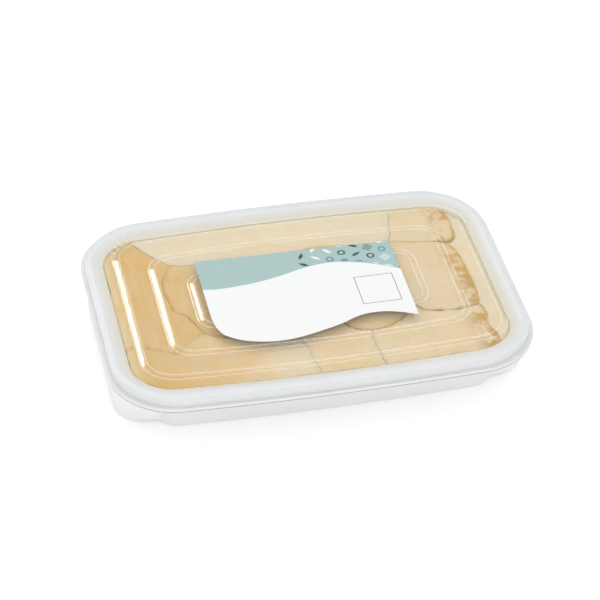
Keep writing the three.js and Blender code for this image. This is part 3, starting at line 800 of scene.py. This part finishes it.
def bed_mesh(slices):
    """The lower layers, seen only in the gaps between the slices."""
    half_x, half_y, power = BASIN[0] - 3.5, BASIN[1] - BOW, 7

    angles = np.linspace(0, 2 * math.pi, 120, endpoint=False)
    r = ((abs(np.cos(angles)) / half_x) ** power + (abs(np.sin(angles)) / half_y) ** power) ** (-1 / power)
    edge = np.stack([r * np.cos(angles), r * np.sin(angles)], 1)

    def top_at(x, y, fraction):
        free = BED_TOP - 0.5 + 0.5 * np.sin(x / 11) * np.cos(y / 9) - 5 * fraction ** 8
        relief = 0.3 * flesh_relief(x, y, 40, 6.0)
        return np.minimum(free, stacked_top(slices, x, y)[1] - 0.6) + relief - 0.3

    def bottom_at(x, y, fraction):
        return np.full(len(x), TUB_FLOOR + (2.6 if fraction > 0.985 else 0.6))

    fractions = [0.1, 0.2, 0.3, 0.4, 0.5, 0.6, 0.7, 0.8, 0.87, 0.93, 0.97, 1.0]
    return slab_mesh("bed", (0.0, 0.0), edge, fractions, top_at, bottom_at)


PATCHINESS = 0.9                 # how much the amber varies over a slice
FIBRES = 0.35                    # and how much it varies from fibre to fibre
SCATTER = (1.0, 0.85, 0.65)      # how far red, green and blue light travels in the flesh,
SCATTER_DEPTH = 4.0              # as shares of this depth


def cod_flesh(name, pale, amber, edge_color, turn, right, left, rim=0.1, browned=False,
              flecked=False):
    """Flesh with fine fibres, from pale to amber: right and left are the shares of amber at the
    tub's middle and at its left end. Browned slices have ragged brown patches at their right
    end, flecked ones small brown spots. Rim is how brown the edge is: partly the flesh's own
    thin brown edge, partly painted shade along the border where a slice lies over the next."""
    n = Nodes(name)
    x, _, z = n.axes()
    share = n.between(x, -112.0, -20.0, left, right, "LINEAR")
    # Paler near the tub's left wall: a painted reflection of the pale ledge beside the flesh.
    share = n.times(share, n.between(x, -118.0, -103.0, 0.5, 1.0))
    patch = n.noise(30, 3.0, 0.5, wobble=0.4)
    fibre = n.noise(2.6, 3.0, 0.6, stretch=(1, 0.16, 1), turn=turn)
    amount = n.times_plus(n.minus(patch, 0.5), PATCHINESS, share)
    amount = n.times_plus(n.minus(fibre, 0.5), FIBRES, amount, clamp=True)
    tone = n.mix(amount, rgba(pale), rgba(amber))
    edge = n.marked("edge")
    ragged = n.times_plus(n.minus(n.noise(6, 3.0, 0.6), 0.5), 0.16, edge)
    # The rim is the flesh's own thin brown edge together with painted shade along the slice's border.
    rim_brown_and_shade = n.times(n.between(ragged, 0.94, 1.0), rim)
    if browned:
        end = n.between(x, 88.0, 102.0)
        spots = n.times(n.between(n.noise(9, 4.0, 0.65), 0.45, 0.57), 0.9)
        seam = n.times(n.between(ragged, 0.90, 0.99), 0.9)
        patches = n.times(end, n.math("MAXIMUM", spots, seam))
        rim_brown_and_shade = n.math("MAXIMUM", rim_brown_and_shade, patches)
    if flecked:
        flecks = n.times(n.between(n.noise(4.0, 1.0), 0.69, 0.75), 0.6)
        rim_brown_and_shade = n.math("MAXIMUM", rim_brown_and_shade, flecks)
    tone = n.mix(rim_brown_and_shade, tone, rgba(edge_color))
    sunk = n.between(n.minus(size("oil_level"), z), 1.5, 6.0, 0.0, 0.6)
    tone = n.mix(sunk, tone, rgba(edge_color))
    normal = n.bump(fibre, 0.25, 0.3)
    return n.show(n.surface(tone, n.between(fibre, 0.3, 0.7, 0.35, 0.5), normal,
                            Specular_IOR_Level=0.3, Subsurface_Weight=0.7,
                            Subsurface_Radius=SCATTER, Subsurface_Scale=SCATTER_DEPTH * MM))


# What cod_flesh is told for each slice.
TONES = {
    "right_middle": dict(right=0.3, left=0.3, rim=0.75, browned=True),
    "middle": dict(right=0.45, left=0.45, rim=0.55),
    "back": dict(right=0.02, left=0.1, rim=0.05),
    "left_middle": dict(right=0.5, left=0.9, rim=0.35, flecked=True),
    "back_right": dict(right=0.28, left=0.28, browned=True),
    "front_left": dict(right=0.14, left=1.0),
    "front_right": dict(right=0.24, left=0.24, browned=True),
    "front_middle": dict(right=0.3, left=0.3),
    "left_end": dict(right=0.7, left=0.85, flecked=True),
    "right_end": dict(right=0.0, left=0.0, rim=0.0),
}


# ---------- oil


OIL_MIRROR = 0.015               # the share of light that the oil mirrors, seen straight on


def oil_mesh():
    """Oil up to just over the slices; it reaches a little into the tub's wall."""
    counts = dict(long=90, short=24, round_=14)
    level = size("oil_level")
    loops = [basin(TUB_FLOOR + 0.5, -2.0, **counts)]
    loops += [basin(z, OIL_INTO_WALL, **counts) for z in (TUB_FLOOR + 2.5, 10.0, 20.0, 30.0)]
    loops.append(basin(level, OIL_INTO_WALL + 0.05, **counts))
    for by, dip in ((-0.5, 0.0), (-1.5, 0.06), (-3.5, 0.09), (-12.0, 0.1), (-24.0, 0.1)):
        loops.append(outline(MOUTH, level - dip, by, corner=max(MOUTH[2] + by, 3.0), **counts))
    return skin("oil_body", loops)


def oil_liquid(color):
    """Clear golden oil with a wet gloss."""
    n = Nodes("oil_liquid")
    cloud = n.between(n.noise(30, 2.0), 0.3, 0.7)
    tone = n.mix(cloud, rgba(color), rgba([min(1.0, c * 1.03) for c in color]))
    rough = n.between(n.noise(8, 1.0), 0.3, 0.7, 0.05, 0.1)
    return n.show(n.clear_film(tone, 0.0, rough, OIL_MIRROR))


# ---------- settings: size defaults are given in millimetres


STAND = "over the surface that the tub stands on"


def color_prop(name, description, default):
    return bpy.props.FloatVectorProperty(name=name, description=description, default=default,
                                         subtype="COLOR", size=3, min=0.0, max=1.0)


def size_prop(name, description, default, low, high):
    return bpy.props.FloatProperty(name=name, description=description, default=default * MM,
                                   min=low * MM, max=high * MM, unit="LENGTH", precision=5)


def light_prop(name, description, default, **limits):
    return bpy.props.FloatProperty(name=name, description=description, default=default, min=0.0, **limits)


class CodTubSizes(bpy.types.PropertyGroup):
    """Sizes of the lid's steps, the label and the filling."""

    step_height: size_prop("Step height", "How far each step of the lid's panel rises", 0.35, 0.1, 0.35)
    label_thickness: size_prop("Label thickness", "Thickness of the paper label", 0.16, 0.08, 0.3)
    fish_level: size_prop("Fish level", "Height of the top slices " + STAND, 33.0, 30.0, 33.1)
    oil_level: size_prop("Oil level", "Height of the oil " + STAND, 33.45, 33.2, 33.6)
    slice_thickness: size_prop("Slice thickness", "Thickness of a slice away from its edge", 5.0, 3.0, 7.0)


class CodTubColors(bpy.types.PropertyGroup):
    """Colours of the tub, the lid, the label and what is inside."""

    tub: color_prop("Tub", "White plastic of the tub", (0.71, 0.71, 0.715))
    lid: color_prop("Lid", "Tint of the clear lid", (0.985, 0.99, 0.99))
    paper: color_prop("Paper", "White of the label", (0.81, 0.82, 0.82))
    field: color_prop("Upper field", "Colour above the label's wave", (0.352, 0.493, 0.475))
    line: color_prop("Frame line", "Thin square line on the label", (0.16, 0.17, 0.18))
    pale: color_prop("Pale flesh", "Cod where the oil has left it pale", (0.86, 0.79, 0.74))
    amber: color_prop("Amber flesh", "Cod where the oil has coloured it", (0.73, 0.485, 0.155))
    # The edge colour is also painted as shade along the slices' borders, besides the flesh's own brown.
    brown: color_prop("Edge", "Thin edges and deep gaps between slices", (0.56, 0.33, 0.045))
    oil: color_prop("Oil", "Oil over and between the slices", (0.97, 0.92, 0.79))


class CodTubLooks(bpy.types.PropertyGroup):
    """The lid's haze, the floor and the lights."""

    haze: bpy.props.FloatProperty(name="Lid haze", description="How milky the clear lid is",
                                  default=0.015, min=0.0, max=0.5, subtype="FACTOR")
    floor_size: bpy.props.FloatProperty(name="Floor", description="Width of the pale floor",
                                        default=6.0, min=1.0, max=50.0, unit="LENGTH")
    dome: light_prop("Dome light", "Strength of the soft light all round", 0.99, max=5.0)
    glow: light_prop("Floor glow", "Light that the floor itself gives off", 0.20, max=5.0)
    key: light_prop("Key light", "Power of the light behind the tub", 2.1, max=500.0, unit="POWER")
    strip: light_prop("Strip light", "Power of the long light overhead", 4.0, max=500.0, unit="POWER")
    fill: light_prop("Fill light", "Power of the light in front of the tub", 5.0, max=500.0, unit="POWER")


def colors():
    return bpy.context.scene.cod_tub_colors


def looks():
    return bpy.context.scene.cod_tub_looks


# ---------- operators


# The camera, fitted to the outlines of the tub and the lid: metres, millimetres and directions.
CAMERA_PLACE = (-0.2881, -1.0953, 0.9785)
CAMERA_RIGHT, CAMERA_UP = (0.9736, -0.2259, 0.032), (0.1215, 0.632, 0.7653)
CAMERA_SENSOR, CAMERA_LENS = 36.0, 144.06

LIGHT_AWAY = 2.0                 # metres from the tub's middle to each light
# Each light's azimuth and elevation in degrees, and its width and height in metres.
LIGHTS = {
    "key": (-3.4, 42.7, (0.16, 0.27)),
    "strip": (14, 62, (1.1, 0.30)),
    "fill": (195, 20, (1.4, 0.8)),
}


class BuildStage(bpy.types.Operator):
    """Makes the pale floor, the soft lights and the camera"""

    bl_idname = "cod_tub.stage"
    bl_label = "Stage"

    def execute(self, context):
        half = looks().floor_size / 2
        mesh = bpy.data.meshes.new("floor")
        mesh.from_pydata([(-half, -half, 0), (half, -half, 0), (half, half, 0), (-half, half, 0)], [],
                         [(0, 1, 2, 3)])
        floor = bpy.data.objects.new("floor", mesh)
        context.scene.collection.objects.link(floor)
        n = Nodes("floor_paint")
        tone = n.mix(n.noise(400, 1.0), (0.90, 0.90, 0.90, 1), (0.91, 0.91, 0.91, 1))
        paint = n.surface(tone, 0.9, Specular_IOR_Level=0.0, Emission_Strength=looks().glow,
                          Emission_Color=WHITE)
        mesh.materials.append(n.show(paint))

        world = bpy.data.worlds.new("soft_dome")
        world.use_nodes = True
        dome = world.node_tree.nodes["Background"]
        dome.inputs["Color"].default_value = WHITE
        dome.inputs["Strength"].default_value = looks().dome
        context.scene.world = world

        for name, (azimuth, elevation, shape) in LIGHTS.items():
            self.area_light(name + "_light", azimuth, elevation, shape, getattr(looks(), name))

        camera = bpy.data.objects.new("camera", bpy.data.cameras.new("camera"))
        context.scene.collection.objects.link(camera)
        camera.data.sensor_width = CAMERA_SENSOR
        camera.data.lens = CAMERA_LENS
        right, up = Vector(CAMERA_RIGHT), Vector(CAMERA_UP)
        back = right.cross(up).normalized()
        up = back.cross(right).normalized()
        turn = Matrix((right.normalized(), up, back)).transposed().to_4x4()
        camera.matrix_world = Matrix.Translation(CAMERA_PLACE) @ turn
        context.scene.camera = camera
        context.scene.view_settings.view_transform = "Standard"
        return {"FINISHED"}

    def area_light(self, name, azimuth, elevation, shape, power):
        """An area light that faces the tub; azimuth 0 is behind the tub, and grows to the right."""
        a, e = math.radians(azimuth), math.radians(elevation)
        spot = Vector((math.sin(a) * math.cos(e), math.cos(a) * math.cos(e), math.sin(e))) * LIGHT_AWAY
        data = bpy.data.lights.new(name, "AREA")
        data.shape = "RECTANGLE"
        data.size, data.size_y = shape
        data.energy = power
        light = bpy.data.objects.new(name, data)
        bpy.context.scene.collection.objects.link(light)
        light.location = spot
        light.rotation_mode = "QUATERNION"
        light.rotation_quaternion = (-spot).to_track_quat("-Z", "Y")


class BuildTub(bpy.types.Operator):
    """Makes the white tub, its lip and its inside"""

    bl_idname = "cod_tub.tub"
    bl_label = "Tub"

    def execute(self, context):
        mesh, first_inner = tub_mesh()
        mesh.materials.append(tub_plastic(colors().tub))
        mesh.materials.append(basin_plastic())
        for polygon in mesh.polygons:
            polygon.material_index = 1 if min(polygon.vertices) >= first_inner else 0
        finish_piece(mesh, "tub_shell", ("tub",), sharp=50)
        return {"FINISHED"}


class BuildLid(bpy.types.Operator):
    """Makes the clear stepped lid"""

    bl_idname = "cod_tub.lid"
    bl_label = "Lid"

    def execute(self, context):
        mesh = lid_mesh()
        mesh.materials.append(lid_plastic(colors().lid, looks().haze))
        finish_piece(mesh, "lid_shell", ("lid",), sharp=60)
        for i, (start, end) in enumerate(LID_RIBS):
            rib = rib_mesh(f"lid_rib_{i + 1}", start, end)
            rib.materials.append(mesh.materials[0])
            finish_piece(rib, f"lid_rib_{i + 1}")
        return {"FINISHED"}


class BuildLabel(bpy.types.Operator):
    """Makes the paper label with its fields of colour"""

    bl_idname = "cod_tub.label"
    bl_label = "Label"

    def execute(self, context):
        mesh = label_mesh()
        c = colors()
        mesh.materials.append(label_paper(c.paper, c.field, c.line))
        label = finish_piece(mesh, "label_paper", ("label",), sharp=40)
        label.visible_shadow = False    # the fish under thin paper stays as light as beside it
        return {"FINISHED"}


class BuildCod(bpy.types.Operator):
    """Makes the slices of cod and the bed of lower layers under them"""

    bl_idname = "cod_tub.cod"
    bl_label = "Cod"

    def execute(self, context):
        c = colors()
        slices = [Slice(i, *row) for i, row in enumerate(SLICES)]
        for s in slices:
            mesh = slice_mesh(s, slices)
            turn = 0.4 * math.sin(2.4 * s.index + 1)     # of the fibres, in radians
            flesh = cod_flesh("cod_" + s.name, c.pale, c.amber, c.brown, turn, **TONES[s.name])
            mesh.materials.append(flesh)
            finish_piece(mesh, "slice_" + s.name, ("cod_slice_" + s.name,))
        mesh = bed_mesh(slices)
        mesh.materials.append(cod_flesh("cod_bed", c.amber, c.brown, c.brown, 0.3, 0.4, 0.4))
        finish_piece(mesh, "bed", ("cod_bed",))
        return {"FINISHED"}


class BuildOil(bpy.types.Operator):
    """Fills the tub with oil to just over the slices"""

    bl_idname = "cod_tub.oil"
    bl_label = "Oil"

    def execute(self, context):
        mesh = oil_mesh()
        mesh.materials.append(oil_liquid(colors().oil))
        finish_piece(mesh, "oil", sharp=60)
        return {"FINISHED"}


OPERATORS = (BuildStage, BuildTub, BuildCod, BuildOil, BuildLid, BuildLabel)


class CodTubPanel(bpy.types.Panel):
    """Lists the pieces of the cod tub and their settings"""

    bl_idname = "VIEW3D_PT_cod_tub"
    bl_label = "Cod tub"
    bl_space_type = "VIEW_3D"
    bl_region_type = "UI"
    bl_category = "Cod tub"

    def draw(self, context):
        layout = self.layout
        scene = context.scene
        for group in (scene.cod_tub_sizes, scene.cod_tub_colors, scene.cod_tub_looks):
            for key in group.__annotations__:
                layout.prop(group, key)
        for operator in OPERATORS:
            layout.operator(operator.bl_idname)


CLASSES = (CodTubSizes, CodTubColors, CodTubLooks, *OPERATORS, CodTubPanel)


def register():
    for item in CLASSES:
        bpy.utils.register_class(item)
    bpy.types.Scene.cod_tub_sizes = bpy.props.PointerProperty(type=CodTubSizes)
    bpy.types.Scene.cod_tub_colors = bpy.props.PointerProperty(type=CodTubColors)
    bpy.types.Scene.cod_tub_looks = bpy.props.PointerProperty(type=CodTubLooks)


def unregister():
    del bpy.types.Scene.cod_tub_looks
    del bpy.types.Scene.cod_tub_colors
    del bpy.types.Scene.cod_tub_sizes
    for item in reversed(CLASSES):
        bpy.utils.unregister_class(item)


def main():
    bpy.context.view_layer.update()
    register()
    for operator in OPERATORS:
        group, name = operator.bl_idname.split(".")
        getattr(getattr(bpy.ops, group), name)()


if __name__ == "__main__":
    main()
